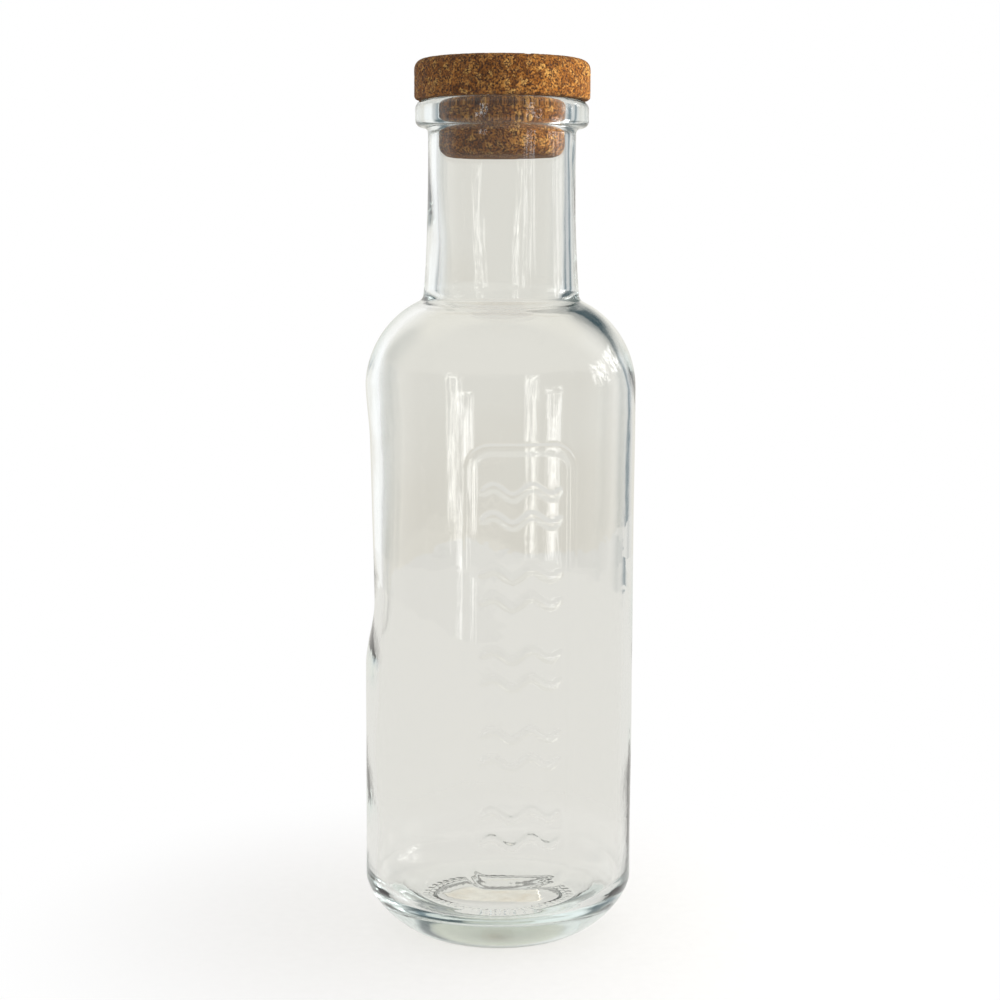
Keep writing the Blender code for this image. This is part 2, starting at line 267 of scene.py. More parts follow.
# %% Underside of the glass
heel_angle = np.linspace(0.0, math.pi / 2, 27)[1:]
heel_power = 2.0 / HEEL_SQUARENESS
heel = np.stack([RING_OUTER + (BODY_RADIUS - RING_OUTER) * np.cos(heel_angle) ** heel_power,
                 HEEL_HEIGHT * (1.0 - np.sin(heel_angle) ** heel_power)], axis=-1)
ring_run = straight((RING_OUTER, 0.0), (RING_INNER, 0.0), 0.0004)
punt_edge = rounded((RING_INNER, 0.0), (PUNT_RADIUS, PUNT_HEIGHT), (0.0, PUNT_HEIGHT), 0.0008, 4)
punt = straight(punt_edge[-1], (0.0, PUNT_HEIGHT), 0.0040)
underside = np.concatenate([heel[:-1], ring_run, punt_edge, punt[1:]])

# %% [markdown]
# ## Where the relief is
#
# The front carries a moulded panel: a flat band around a tall rectangle with round corners, which stands a
# third of a millimetre out of the wall. Inside it are five pairs of ripples, one above the other. The rows
# are close together only where a ripple or a round corner passes, and the columns only across the panel.

# %% Rows and columns of the grid
PANEL_ANGLE = math.radians(9.2)
PANEL_HALF_WIDTH = 0.0190
PANEL_TOP = 0.1697
PANEL_BOTTOM = 0.0257
PANEL_CORNER = 0.0090
PANEL_BAND = 0.0040
PANEL_MARGIN = 0.0008
LINE_HALF_WIDTH = 0.00130
LINE_HEIGHT = 0.00046
LINE_EDGE = 0.00050
RIPPLE_GROUPS = 5
RIPPLES_IN_GROUP = 2
RIPPLE_SPACING = 0.0090
RIPPLE_HALF_LENGTH = 0.0118
RIPPLE_WAVE = 0.0125
RIPPLE_SWING = 0.0016
RIPPLE_END_SPACE = 0.014
RIPPLE_ROW, CORNER_ROW, PLAIN_ROW = 0.00038, 0.00060, 0.00180
BAND_COLUMN, RIPPLE_COLUMN, PLAIN_COLUMN_DEGREES = 0.00048, 0.00080, 2.1

group_spacing = (PANEL_TOP - PANEL_BOTTOM - RIPPLE_END_SPACE) / RIPPLE_GROUPS
group_heights = (np.arange(RIPPLE_GROUPS) - 0.5 * (RIPPLE_GROUPS - 1)) * group_spacing
line_heights = (np.arange(RIPPLES_IN_GROUP) - 0.5 * (RIPPLES_IN_GROUP - 1)) * RIPPLE_SPACING
ripple_heights = 0.5 * (PANEL_TOP + PANEL_BOTTOM) + np.add.outer(group_heights, line_heights).ravel()


def uneven_steps(start, end, step_at):
    """Heights from start to end whose spacing follows step_at(height): the number of steps passed is the
    sum of 1 / spacing along the way, and a row stands wherever that number is whole."""
    fine_heights = np.linspace(start, end, 4001)
    density = 1.0 / step_at(fine_heights)
    each = 0.5 * (density[1:] + density[:-1]) * np.abs(np.diff(fine_heights))
    passed = np.concatenate([[0.0], np.cumsum(each)])
    return np.interp(np.linspace(0.0, passed[-1], int(passed[-1]) + 1), passed, fine_heights)


def panel_row_step(heights):
    """Close rows where a ripple passes, fairly close ones at the frame's round corners, wide ones
    between."""
    to_ripple = np.abs(heights[:, None] - ripple_heights).min(axis=1)
    to_end = np.minimum(PANEL_TOP - heights, heights - PANEL_BOTTOM)
    wanted = np.where(to_end < PANEL_CORNER, CORNER_ROW, PLAIN_ROW)
    return np.where(to_ripple < RIPPLE_SWING + LINE_HALF_WIDTH + LINE_EDGE, RIPPLE_ROW, wanted)


panel_rows = uneven_steps(PANEL_TOP + PANEL_MARGIN, PANEL_BOTTOM - PANEL_MARGIN, panel_row_step)
side_heights = np.concatenate([steps(BODY_TOP, panel_rows[0], 0.0030)[1:-1], panel_rows,
                               steps(panel_rows[-1], HEEL_HEIGHT, 0.0020)[1:]])
outer_side = np.stack([np.full(len(side_heights), BODY_RADIUS), side_heights], axis=-1)
section = np.concatenate([inside, lip, upper_outside, outer_side, underside])
outer_from = len(inside) + len(lip) // 3

edge = PANEL_HALF_WIDTH / BODY_RADIUS
margin = PANEL_MARGIN / BODY_RADIUS
band = PANEL_BAND / BODY_RADIUS
fine = BAND_COLUMN / BODY_RADIUS
middle = RIPPLE_COLUMN / BODY_RADIUS
coarse = math.radians(PLAIN_COLUMN_DEGREES)
columns = PANEL_ANGLE + np.concatenate([
    steps(-edge - margin, -edge + band + margin, fine)[:-1],
    steps(-edge + band + margin, edge - band - margin, middle)[:-1],
    steps(edge - band - margin, edge + margin, fine)[:-1],
    steps(edge + margin, 2 * math.pi - edge - margin, coarse)[:-1]])
print("glass grid:", len(section), "rows by", len(columns), "columns")

# %% [markdown]
# ## What the mould and the cooling did to the wall
#
# Three things move the wall from a true circle. A hollow for the fingers is pressed into the left side,
# deepest low down. The panel is raised. And both skins sway, the outer by hundredths of a millimetre and
# the inner by a few tenths, as glass does when it cools in air: without that sway the reflections would be
# ruler-straight, and the bottle would look like plastic.

# %% Grip hollow
GRIP_TOP, GRIP_FULL_TOP, GRIP_FULL_BOTTOM, GRIP_BOTTOM = 0.1870, 0.1650, 0.1140, 0.0910
GRIP_DEPTH_TOP, GRIP_DEPTH_BOTTOM = 0.0015, 0.0031
GRIP_HALF_ANGLE = math.radians(36.0)


def grip_depth(angle, height):
    """Depth of the grip: a ramp in at its top, a slope that deepens, a quicker ramp out, times an S-shaped
    fade around the body. The angle is measured from the front, so the grip is at minus a quarter turn."""
    along = smoothstep((GRIP_TOP - height) / (GRIP_TOP - GRIP_FULL_TOP))
    along = along * smoothstep((height - GRIP_BOTTOM) / (GRIP_FULL_BOTTOM - GRIP_BOTTOM))
    slope = np.clip((GRIP_FULL_TOP - height) / (GRIP_FULL_TOP - GRIP_FULL_BOTTOM), 0.0, 1.0)
    away = np.abs(np.angle(np.exp(1j * (angle + math.pi / 2))))
    around = 1.0 - smoothstep(away / GRIP_HALF_ANGLE)
    return (GRIP_DEPTH_TOP + (GRIP_DEPTH_BOTTOM - GRIP_DEPTH_TOP) * slope) * along * around

# %% Raised lines
BAND_EDGE = 0.0010
BAND_HEIGHT = 0.00030
BAND_FOOT = 0.030
BAND_FOOT_SHARE = 0.4


def raised(distance):
    """A low flat-topped ridge over a line: full height near it, and an S-shaped edge down to nothing."""
    return LINE_HEIGHT * (1.0 - smoothstep((distance - LINE_HALF_WIDTH + LINE_EDGE) / LINE_EDGE))


def panel_relief(angle, height):
    """Height of the frame and the ripples above the wall, measured on the unrolled body. The frame is a
    band along the inside of a rectangle with round corners: it rises over BAND_EDGE at both of its borders.
    The distance to that rectangle is the usual one for a rounded box, negative inside. The band gets
    shallower towards the heel."""
    across = np.angle(np.exp(1j * (angle - PANEL_ANGLE))) * BODY_RADIUS
    middle_height = 0.5 * (PANEL_TOP + PANEL_BOTTOM)
    side = np.abs(across) - (PANEL_HALF_WIDTH - PANEL_CORNER)
    end = np.abs(height - middle_height) - (0.5 * (PANEL_TOP - PANEL_BOTTOM) - PANEL_CORNER)
    outside = np.hypot(np.maximum(side, 0.0), np.maximum(end, 0.0)) + np.minimum(np.maximum(side, end), 0.0)
    distance = outside - PANEL_CORNER
    rise = smoothstep((distance + PANEL_BAND) / BAND_EDGE)
    fullness = BAND_FOOT_SHARE + (1.0 - BAND_FOOT_SHARE) * smoothstep((height - PANEL_BOTTOM) / BAND_FOOT)
    relief = BAND_HEIGHT * fullness * rise * (1.0 - smoothstep((distance + BAND_EDGE) / BAND_EDGE))
    past_end = np.maximum(np.abs(across) - RIPPLE_HALF_LENGTH, 0.0)
    for ripple_height in ripple_heights:
        wave = ripple_height + RIPPLE_SWING * np.sin(2 * math.pi * across / RIPPLE_WAVE)
        relief = np.maximum(relief, raised(np.hypot((height - wave) * 0.88, past_end)))
    return relief

# %% Sway of the two skins
OUTER_SWAY = ((2, 0.110, 0.00006, 0.4), (3, 0.052, 0.00003, 2.1), (5, 0.031, 0.000012, 4.4),
              (7, 0.024, 0.000005, 1.3))
INNER_SWAY = ((1, 0.160, 0.00024, 5.2), (3, 0.071, 0.00012, 0.9), (4, 0.038, 0.00007, 3.6),
              (6, 0.024, 0.00003, 2.2))


def sway(angle, height, waves):
    """A sum of slow spiral waves. Each has a whole number of turns round the bottle, so that it closes on
    itself, a length along the height, a size and a phase."""
    total = np.zeros(np.broadcast(angle, height).shape)
    for turns, length, size, phase in waves:
        total += size * np.sin(turns * angle + 2 * math.pi * height / length + phase)
    return total

# %% [markdown]
# ## Knurls on the bearing ring
#
# The ring that touches the table is knurled with two rows of short bars, so that the hot bottle could stand
# on the conveyor without its base checking. The bars stay at height zero and the hollows between them are
# raised, so the bottle still stands on the same plane.

# %% Knurl depth
KNURLS = 48
KNURL_DEPTH = 0.00070


def knurl(angle, radius):
    """How far the ring is hollowed upwards: waves around the ring, with the two rows half a pitch apart."""
    middle_radius = 0.5 * (RING_INNER + RING_OUTER)
    half = 0.5 * (RING_OUTER - RING_INNER)
    row_offset = np.where(radius > middle_radius, 0.0, math.pi)
    bars = 0.5 - 0.5 * np.cos(KNURLS * angle + row_offset)
    between_rows = 1.0 - smoothstep(np.abs(radius - middle_radius) / (0.25 * half))
    inside_ring = smoothstep((half * 1.6 - np.abs(radius - middle_radius)) / (0.5 * half))
    return KNURL_DEPTH * np.maximum(bars, between_rows) * inside_ring

# %% Glass skin
FIRM_BASE, FIRM_BASE_FADE, FIRM_LIP_FADE = 0.010, 0.030, 0.012
TOUCHES_TABLE = 0.0006

angle = columns[None, :]
radius = np.repeat(section[:, :1], len(columns), axis=1)
height = np.repeat(section[:, 1:], len(columns), axis=1)
is_outer = (np.arange(len(section)) >= outer_from)[:, None]
is_wall = radius > BODY_RADIUS - 2.0 * BODY_WALL
free = smoothstep((height - FIRM_BASE) / FIRM_BASE_FADE) * smoothstep((BEAD_BOTTOM - height) / FIRM_LIP_FADE)

outer_moved = sway(angle, height, OUTER_SWAY) - sum(size for _, _, size, _ in OUTER_SWAY)
moved = np.where(is_outer, outer_moved, sway(angle, height, INNER_SWAY)) * free
moved = moved - np.where(is_wall, grip_depth(angle, height), 0.0)
on_side = is_outer & (np.abs(radius - BODY_RADIUS) < 1e-7)
moved = moved + np.where(on_side, panel_relief(angle, height), 0.0)
under = is_outer & (height < TOUCHES_TABLE) & (radius > PUNT_RADIUS)
height = height + np.where(under, knurl(angle, radius), 0.0)
radius = np.maximum(radius + moved * (radius > 0.012), 0.0)

bottle_glass = skin_from_grid("bottle_glass", radius * np.sin(angle), -radius * np.cos(angle), height)
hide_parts("bottle")
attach(bottle_glass, "bottle")

# %% [markdown]
# ## Building materials from nodes
#
# These two helpers keep the node code short: one adds a node and sets its plain values, the other starts a
# material and hands back its tree with the Principled shader that Blender puts in it.

# %% Node helpers
def add(tree, kind, links=(), **values):
    """Adds a node to a tree. links are (input name or index, output socket or plain value); values are
    settings."""
    node = tree.nodes.new(kind)
    for key, value in values.items():
        setattr(node, key, value)
    for key, source in links:
        if isinstance(source, bpy.types.NodeSocket):
            tree.links.new(source, node.inputs[key])
        else:
            node.inputs[key].default_value = source
    return node


def start_material(name):
    """A new material with nodes: returns it, its tree and its Principled shader."""
    material = bpy.data.materials.new(name)
    material.use_nodes = True
    return material, material.node_tree, material.node_tree.nodes["Principled BSDF"]


def ramp(tree, source, stops):
    """A colour ramp on a value, with stops of (place, grey or colour)."""
    node = tree.nodes.new("ShaderNodeValToRGB")
    tree.links.new(source, node.inputs["Fac"])
    elements = node.color_ramp.elements
    while len(elements) < len(stops):
        elements.new(0.5)
    for element, (place, shade) in zip(elements, stops):
        element.position = place
        element.color = (shade, shade, shade, 1.0) if isinstance(shade, (int, float)) else (*shade, 1.0)
    return node


def maths(tree, operation, first, second=0.0):
    """Arithmetic on output sockets or plain values. Returns the output socket."""
    return add(tree, "ShaderNodeMath", [(0, first), (1, second)], operation=operation).outputs[0]


def remap(tree, value, start=0.0, end=1.0, low=0.0, high=1.0, kind="LINEAR"):
    """Carries the range from start to end over to low to high, and holds the ends. Returns the socket."""
    links = [("Value", value), ("From Min", start), ("From Max", end), ("To Min", low), ("To Max", high)]
    return add(tree, "ShaderNodeMapRange", links, interpolation_type=kind).outputs["Result"]


def mix_colors(tree, factor, first, second, blend_type="MIX"):
    """Mixes two colours. factor, first and second are output sockets or plain values. Returns the output
    socket."""
    node = tree.nodes.new("ShaderNodeMix")
    node.data_type = "RGBA"
    node.blend_type = blend_type
    for socket, source in ((node.inputs[0], factor), (node.inputs[6], first), (node.inputs[7], second)):
        if isinstance(source, bpy.types.NodeSocket):
            tree.links.new(source, socket)
        else:
            socket.default_value = source
    return node.outputs[2]


def start_group(name, inputs, outputs):
    """A shader node group with named sockets: returns the tree, its input node and its output node."""
    group = bpy.data.node_groups.new(name, "ShaderNodeTree")
    for label, kind, default in inputs:
        group.interface.new_socket(label, in_out="INPUT", socket_type=kind).default_value = default
    for label, kind in outputs:
        group.interface.new_socket(label, in_out="OUTPUT", socket_type=kind)
    return group, group.nodes.new("NodeGroupInput"), group.nodes.new("NodeGroupOutput")


def place_group(tree, group, links):
    """Puts a node group into a tree and sets or links its inputs."""
    node = tree.nodes.new("ShaderNodeGroup")
    node.node_tree = group
    for key, source in links:
        if isinstance(source, bpy.types.NodeSocket):
            tree.links.new(source, node.inputs[key])
        else:
            node.inputs[key].default_value = source
    return node

# %% [markdown]
# ## Handling marks, used on glass and on paper
#
# Things that are handled carry a patchy film: a cloudy large pattern broken by a fine one. It is a node
# group because the glass uses it for its roughness and the paper for its yellowing, each with its own size.

# %% Patchy film group
film, film_in, film_out = start_group(
    "patchy_film",
    [("Vector", "NodeSocketVector", (0.0, 0.0, 0.0)), ("Patch Scale", "NodeSocketFloat", 40.0),
     ("Grain Scale", "NodeSocketFloat", 900.0), ("Cover", "NodeSocketFloat", 0.5)],
    [("Mask", "NodeSocketFloat"), ("Height", "NodeSocketFloat")])
patches = add(film, "ShaderNodeTexNoise", [("Vector", film_in.outputs["Vector"]),
              ("Scale", film_in.outputs["Patch Scale"]), ("Detail", 4.0), ("Roughness", 0.62)])
grain = add(film, "ShaderNodeTexNoise", [("Vector", film_in.outputs["Vector"]),
            ("Scale", film_in.outputs["Grain Scale"]), ("Detail", 2.0)])
broken = maths(film, "MULTIPLY", grain.outputs["Fac"], 0.35)
joined = maths(film, "ADD", patches.outputs["Fac"], broken)
level_off = maths(film, "SUBTRACT", 1.15, film_in.outputs["Cover"])
mask = remap(film, joined, level_off, 1.0, kind="SMOOTHSTEP")
film.links.new(mask, film_out.inputs["Mask"])
film.links.new(grain.outputs["Fac"], film_out.inputs["Height"])

# %% [markdown]
# ## Clear glass
#
# Soda-lime glass bends light with an index of 1.52 and holds a trace of iron, which takes a little red out
# of light that travels far inside it. So the walls look clear and the edges, where light runs along the
# glass, look teal: that is an absorption inside the volume and not a colour on the surface. The surface
# itself is almost a mirror, with a faint film from hands and from the ware's cold end, and a very slight
# skin texture.

# %% Glass material
GLASS_INDEX = 1.52
IRON_TINT, IRON_DENSITY = (0.50, 0.77, 0.74, 1.0), 4.5
CLEAN_ROUGHNESS, FILM_ROUGHNESS = 0.004, 0.035
SKIN_TEXTURE_DEPTH = 0.00012

glass, glass_tree, glass_shader = start_material("clear_glass")
glass_coords = add(glass_tree, "ShaderNodeTexCoord").outputs["Object"]
glass_shader.inputs["Base Color"].default_value = (0.975, 0.972, 0.962, 1.0)
glass_shader.inputs["IOR"].default_value = GLASS_INDEX
glass_shader.inputs["Metallic"].default_value = 0.0
glass_shader.inputs["Transmission Weight"].default_value = 1.0
glass_film = place_group(glass_tree, film, [("Vector", glass_coords), ("Patch Scale", 32.0),
                         ("Grain Scale", 700.0), ("Cover", 0.42)])
glass_rough = remap(glass_tree, glass_film.outputs["Mask"], low=CLEAN_ROUGHNESS, high=FILM_ROUGHNESS)
glass_tree.links.new(glass_rough, glass_shader.inputs["Roughness"])
skin_noise = add(glass_tree, "ShaderNodeTexNoise", [("Vector", glass_coords), ("Scale", 95.0),
                 ("Detail", 2.0)])
glass_bump = add(glass_tree, "ShaderNodeBump", [("Height", skin_noise.outputs["Fac"]), ("Strength", 0.35),
                 ("Distance", SKIN_TEXTURE_DEPTH)])
glass_tree.links.new(glass_bump.outputs["Normal"], glass_shader.inputs["Normal"])
iron_tint = add(glass_tree, "ShaderNodeVolumeAbsorption", [("Color", IRON_TINT), ("Density", IRON_DENSITY)])
glass_tree.links.new(iron_tint.outputs["Volume"], glass_tree.nodes["Material Output"].inputs["Volume"])
bottle_glass.data.materials.append(glass)
bottle_glass.visible_shadow = False    # the lamps' light passes to the cork and the paper inside

# %% [markdown]
# ## Cork discs
#
# Pressed cork is granules of bark, one to three millimetres across, glued under heat and turned to shape.
# Turning tears crumbs out of it, so the surface is pitted. The granules are a pattern of cells in space:
# each point belongs to the nearest of a set of scattered seeds, and the border between two cells is a
# shallow groove. A few cells are torn out deeper. The same idea, a cell pattern, gives the colour later.

# %% Scattered cells
HASH_X, HASH_Y, HASH_Z, HASH_SEED = 73856093, 19349663, 83492791, 2654435761    # they only mix the bits
HASH_SALT, HASH_FIRST, HASH_SECOND = 374761393, 2246822519, 3266489917
LOW_32_BITS = 0xFFFFFFFF
FAR = 9.0                # further than any seed can be, in cubes


def cell_pattern(points, size, seed):
    """Nearest-seed pattern in space: one seed in each cube of the given size, placed by a hash of the
    cube's coordinates. Returns the gap between the second nearest and nearest seed, in metres, and the
    nearest's number between 0 and 1."""
    scaled = points / size
    home = np.floor(scaled).astype(np.int64)
    nearest = np.full(len(points), FAR)
    second = np.full(len(points), FAR)
    number = np.zeros(len(points))
    for offset in np.stack(np.meshgrid(*[np.arange(-1, 2)] * 3, indexing="ij"), -1).reshape(-1, 3):
        cube = home + offset
        mixed = (cube[:, 0] * HASH_X) ^ (cube[:, 1] * HASH_Y) ^ (cube[:, 2] * HASH_Z) ^ (seed * HASH_SEED)
        draws = []
        for salt in (1, 2, 3, 4):
            value = (mixed + salt * HASH_SALT) & LOW_32_BITS
            value = ((value ^ (value >> 15)) * HASH_FIRST) & LOW_32_BITS
            value = ((value ^ (value >> 13)) * HASH_SECOND) & LOW_32_BITS
            draws.append((value ^ (value >> 16)) / (LOW_32_BITS + 1.0))
        away = np.linalg.norm(cube + np.stack(draws[:3], -1) - scaled, axis=1)
        closer = away < nearest
        second = np.where(closer, nearest, np.minimum(second, away))
        number = np.where(closer, draws[3], number)
        nearest = np.where(closer, away, nearest)
    return (second - nearest) * size, number

# %% Disc builder
CORK_STEP = 0.00045
GRANULE_SIZE, CRUMB_SIZE = 0.0021, 0.0011
TORN_FROM, CRUMBS_FROM = 0.90, 0.80      # the share of the granules and of the crumbs that stay in place
HEAD_TOP_ROUND, HEAD_BOTTOM_ROUND = 0.0032, 0.0012
PLUG_TOP_ROUND, PLUG_BOTTOM_ROUND = 0.0004, 0.0042
PLUG_CLEARANCE = 0.0004
HEAD_ROUGHNESS, PLUG_ROUGHNESS = 0.00013, 0.00011


def disc_outline(radius, bottom, top, bottom_round, top_round):
    """Outline of a disc from its top centre, over a rounded edge, down the side and back under to the
    axis."""
    upper = arc((radius - top_round, top - top_round), (top_round, top_round), math.pi / 2, 0.0,
                max(4, int(top_round * 1.6 / CORK_STEP)))
    lower = arc((radius - bottom_round, bottom + bottom_round), (bottom_round, bottom_round), 0.0,
                -math.pi / 2, max(4, int(bottom_round * 1.6 / CORK_STEP)))
    return np.concatenate([straight((0.0, top), upper[0], CORK_STEP * 1.4)[:-1], upper,
                           straight(upper[-1], lower[0], CORK_STEP)[1:-1], lower,
                           straight(lower[-1], (0.0, bottom), CORK_STEP * 1.4)[1:]])


def cork_disc(name, outline, seed, depth):
    """Turns an outline and roughens it. Every point moves inwards along the outline's normal: a little at
    the borders of the granules, more where a granule is torn out. Returns the piece."""
    along = np.gradient(outline, axis=0)
    along /= np.linalg.norm(along, axis=1)[:, None]
    count = int(2 * math.pi * outline[:, 0].max() / CORK_STEP)
    turn = np.linspace(0.0, 2 * math.pi, count, endpoint=False)[None, :]
    radius, height = outline[:, :1], outline[:, 1:]
    points = np.stack(np.broadcast_arrays(radius * np.sin(turn), -radius * np.cos(turn), height), -1)
    flat = points.reshape(-1, 3)
    coarse_gap, coarse_number = cell_pattern(flat, GRANULE_SIZE, seed)
    fine_gap, fine_number = cell_pattern(flat, CRUMB_SIZE, seed + 7)
    groove = 1.0 - smoothstep(coarse_gap / 0.00035)
    torn = smoothstep((coarse_number - TORN_FROM) / 0.02) * smoothstep(coarse_gap / 0.0004)
    crumbs = smoothstep((fine_number - CRUMBS_FROM) / 0.03) * smoothstep(fine_gap / 0.0003)
    inward = depth * (0.45 * groove + 1.6 * torn + 0.8 * crumbs + 0.25 * coarse_number)
    inward = inward.reshape(points.shape[:2])
    pulled_radius = radius + along[:, 1:] * inward
    pulled_height = height - along[:, :1] * inward
    pulled_radius = np.where(radius > 0.0, np.maximum(pulled_radius, 0.0), 0.0)
    return skin_from_grid(name, pulled_radius * np.sin(turn), -pulled_radius * np.cos(turn), pulled_height)


head_outline = disc_outline(head_high.x, LIP_TOP + 0.00005, head_high.z, HEAD_BOTTOM_ROUND, HEAD_TOP_ROUND)
plug_outline = disc_outline(BORE_RADIUS - PLUG_CLEARANCE, plug_low.z, LIP_TOP + 0.00002, PLUG_BOTTOM_ROUND,
                            PLUG_TOP_ROUND)
cork_head = cork_disc("cork_head", head_outline, 11, HEAD_ROUGHNESS)
cork_plug = cork_disc("cork_plug", plug_outline, 23, PLUG_ROUGHNESS)
for piece, node in ((cork_head, "stopper_head"), (cork_plug, "stopper_plug")):
    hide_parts(node)
    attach(piece, "stopper")

# %% [markdown]
# ## Cork colour
#
# Three scales make cork look like cork: granules of different browns, pale flecks of clean bark, and dark
# specks of the woody veins between them. The group does all three from the position in space, so the
# pattern runs through the edge of a disc as it does through real pressed cork.

# %% Cork group
BARK_BROWNS = [(0.0, (0.21, 0.074, 0.011)), (0.30, (0.30, 0.110, 0.018)), (0.62, (0.385, 0.152, 0.028)),
               (0.86, (0.50, 0.222, 0.048)), (1.0, (0.65, 0.36, 0.10))]
CLEAN_BARK = (0.57, 0.31, 0.09, 1.0)
WOODY_VEIN = (0.055, 0.022, 0.010, 1.0)
CURL = 0.0026           # how far noise bends the granules, in metres
VEIN_BASE, VEIN_SOFTNESS = 0.72, 0.18
cork_group, cork_in, cork_out = start_group(
    "pressed_cork",
    [("Vector", "NodeSocketVector", (0.0, 0.0, 0.0)), ("Granules per Metre", "NodeSocketFloat", 560.0),
     ("Speck Share", "NodeSocketFloat", 0.5)],
    [("Color", "NodeSocketColor"), ("Roughness", "NodeSocketFloat"), ("Height", "NodeSocketFloat")])
cork_vector = cork_in.outputs["Vector"]
wobble = add(cork_group, "ShaderNodeTexNoise", [("Vector", cork_vector), ("Scale", 620.0), ("Detail", 3.0)])
shift = add(cork_group, "ShaderNodeVectorMath", [(0, wobble.outputs["Color"]), (1, (0.5, 0.5, 0.5))],
            operation="SUBTRACT")
shift_scaled = add(cork_group, "ShaderNodeVectorMath", [(0, shift.outputs[0]), ("Scale", CURL)],
                   operation="SCALE")
bent = add(cork_group, "ShaderNodeVectorMath", [(0, cork_vector), (1, shift_scaled.outputs[0])],
           operation="ADD")
granules = add(cork_group, "ShaderNodeTexVoronoi", [("Vector", bent.outputs[0]),
               ("Scale", cork_in.outputs["Granules per Metre"])], feature="F1")
granule_value = add(cork_group, "ShaderNodeSeparateColor", [("Color", granules.outputs["Color"])])
browns = ramp(cork_group, granule_value.outputs["Red"], BARK_BROWNS)
crumb_scale = maths(cork_group, "MULTIPLY", cork_in.outputs["Granules per Metre"], 2.2)
crumbs = add(cork_group, "ShaderNodeTexVoronoi", [("Vector", bent.outputs[0]),
             ("Scale", crumb_scale)])
crumb_value = add(cork_group, "ShaderNodeSeparateColor", [("Color", crumbs.outputs["Color"])])
flecks = ramp(cork_group, crumb_value.outputs["Green"], [(0.0, 0.0), (0.84, 0.0), (0.95, 0.6), (1.0, 0.8)])
with_flecks = mix_colors(cork_group, flecks.outputs["Color"], browns.outputs["Color"], CLEAN_BARK)
veins = add(cork_group, "ShaderNodeTexNoise", [("Vector", cork_vector), ("Scale", 1500.0), ("Detail", 3.0),
            ("Roughness", 0.65)])
vein_edge = maths(cork_group, "SUBTRACT", VEIN_BASE, cork_in.outputs["Speck Share"])
vein_start = maths(cork_group, "ADD", vein_edge, VEIN_SOFTNESS)
specks = remap(cork_group, veins.outputs["Fac"], vein_edge, vein_start, 1.0, 0.0)
with_specks = mix_colors(cork_group, specks, with_flecks, WOODY_VEIN)
cork_group.links.new(with_specks, cork_out.inputs["Color"])
cork_rough = remap(cork_group, granule_value.outputs["Blue"], low=0.72, high=0.95)
cork_group.links.new(cork_rough, cork_out.inputs["Roughness"])
cork_bumps = maths(cork_group, "ADD", crumbs.outputs["Distance"], veins.outputs["Fac"])
cork_group.links.new(cork_bumps, cork_out.inputs["Height"])

# %% Cork material
cork, cork_tree, cork_shader = start_material("pressed_cork")
cork_coords = add(cork_tree, "ShaderNodeTexCoord").outputs["Object"]
cork_look = place_group(cork_tree, cork_group, [("Vector", cork_coords), ("Granules per Metre", 560.0),
                        ("Speck Share", 0.31)])
cork_tree.links.new(cork_look.outputs["Color"], cork_shader.inputs["Base Color"])
cork_tree.links.new(cork_look.outputs["Roughness"], cork_shader.inputs["Roughness"])
cork_bump = add(cork_tree, "ShaderNodeBump", [("Height", cork_look.outputs["Height"]), ("Strength", 0.7),
                ("Distance", 0.00025)])
cork_tree.links.new(cork_bump.outputs["Normal"], cork_shader.inputs["Normal"])
cork_head.data.materials.append(cork)
cork_plug.data.materials.append(cork)

# %% [markdown]
# ## The scrap of label
#
# A torn piece of blank paper is stuck in the hollow under the base. Its outline is a polygon with uneven,
# torn edges, and old glue has made it cockle. The skin is again a closed grid: from the middle of the top
# out to the torn edge, and back under to the middle.

# %% Paper label
LABEL_OUTLINE = np.array([(-0.0200, 0.0013), (-0.0117, 0.0101), (0.0030, 0.0114), (0.0144, 0.0108),
                          (0.0155, -0.0077), (0.0124, -0.0112), (-0.0040, -0.0100), (-0.0146, -0.0073)])
LABEL_COLUMNS, LABEL_RINGS = 360, 26
PAPER_THICKNESS = 0.00010
PAPER_INSET = 0.0003        # keeps the torn edge inside the outline
GLUE_GAP = 0.0001
TEARS = ((23, 0.00022, 1.0), (57, 0.000154, 0.0), (91, 0.00011, 2.0))
label_centre = 0.5 * (LABEL_OUTLINE.min(axis=0) + LABEL_OUTLINE.max(axis=0))


def reach_of_outline(turn, outline, centre):
    """Distance from the centre to a polygon's edge in each direction: the ray meets each side's line, and
    the side is the one where the meeting point falls between its corners."""
    start = outline - centre
    side = np.roll(start, -1, axis=0) - start
    ray = np.stack([np.cos(turn), np.sin(turn)], -1)[:, None, :]
    across = ray[..., 0] * side[:, 1] - ray[..., 1] * side[:, 0]
    distance = (start[:, 0] * side[:, 1] - start[:, 1] * side[:, 0]) / across
    share = (start[:, 0] * ray[..., 1] - start[:, 1] * ray[..., 0]) / across
    return np.where((share >= 0.0) & (share <= 1.0) & (distance > 0.0), distance, 0.0).max(axis=1)


turn = -np.linspace(0.0, 2 * math.pi, LABEL_COLUMNS, endpoint=False)
reach = reach_of_outline(turn, LABEL_OUTLINE, label_centre)
reach = reach - PAPER_INSET + sum(size * np.sin(waves * turn + phase) for waves, size, phase in TEARS)
outwards = np.linspace(0.0, 1.0, LABEL_RINGS)
share = np.concatenate([outwards, outwards[::-1][1:]])[:, None]
paper_x = label_centre[0] + share * reach * np.cos(turn)
paper_y = label_centre[1] + share * reach * np.sin(turn)
cockle = 0.00005 * np.sin(paper_x * 900.0 + 2.0 * np.sin(paper_y * 500.0))
cockle = cockle + 0.00004 * np.sin(paper_y * 1100.0)
is_under = (np.arange(len(share)) >= LABEL_RINGS)[:, None]
paper_z = label_high.z - GLUE_GAP + cockle - np.where(is_under, PAPER_THICKNESS, 0.0)
paper_label = skin_from_grid("paper_label", paper_x, paper_y, paper_z)
